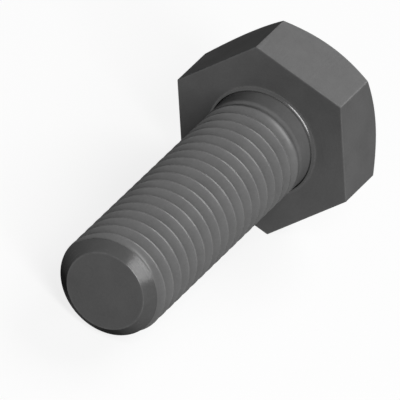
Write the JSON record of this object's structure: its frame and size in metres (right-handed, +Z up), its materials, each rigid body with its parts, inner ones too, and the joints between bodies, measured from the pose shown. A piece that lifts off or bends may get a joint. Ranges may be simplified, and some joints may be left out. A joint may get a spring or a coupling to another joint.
{
  "type": "recoil starter screw",
  "caption": "Hexagon head machine screw for bolting down a recoil starter, with a chamfered crown, flat bearing face, neck fillet, straight shank and chamfered tip.",
  "frame": {"origin": "centre of the head's bearing face, on the screw's axis", "axes": "the screw lies at rest on one head flat and the rim of its tip: head towards +X, tip towards -X and a little down, Z up; the axis leans 5.95 degrees, tip down, in the XZ plane"},
  "size_m": [0.0312, 0.015, 0.0135],
  "materials": {
    "blackened_steel": "black oxide on forged and rolled steel, satin, with faint forming marks"
  },
  "bodies": {
    "root": {"hex_screw": "blackened_steel"}
  },
  "joints": []
}
